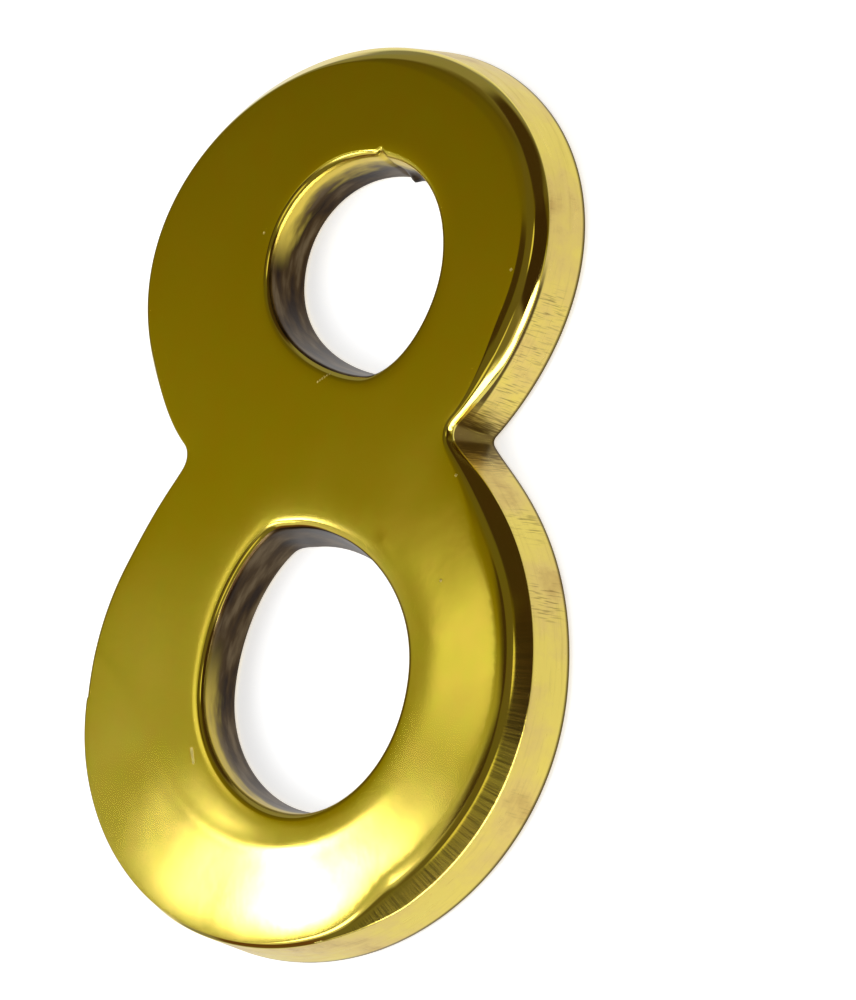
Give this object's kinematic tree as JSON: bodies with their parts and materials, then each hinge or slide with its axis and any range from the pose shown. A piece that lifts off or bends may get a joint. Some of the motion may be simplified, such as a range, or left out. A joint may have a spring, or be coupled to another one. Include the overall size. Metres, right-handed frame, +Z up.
{
  "type": "door numeral",
  "caption": "Polished cast brass door numeral, a figure eight with open loops and a bevelled face, fixed from behind by blind tapped holes in its flat back.",
  "frame": {"origin": "middle of the flat back, on the solid bridge between the loops, half way up the numeral", "axes": "+Z up the numeral, +X to the reader's right, +Y into the door; the face looks towards -Y"},
  "size_m": [0.0532, 0.0047, 0.0762],
  "materials": {
    "cast_brass": "polished"
  },
  "bodies": {
    "root": {"numeral_eight": "cast_brass"}
  },
  "joints": []
}
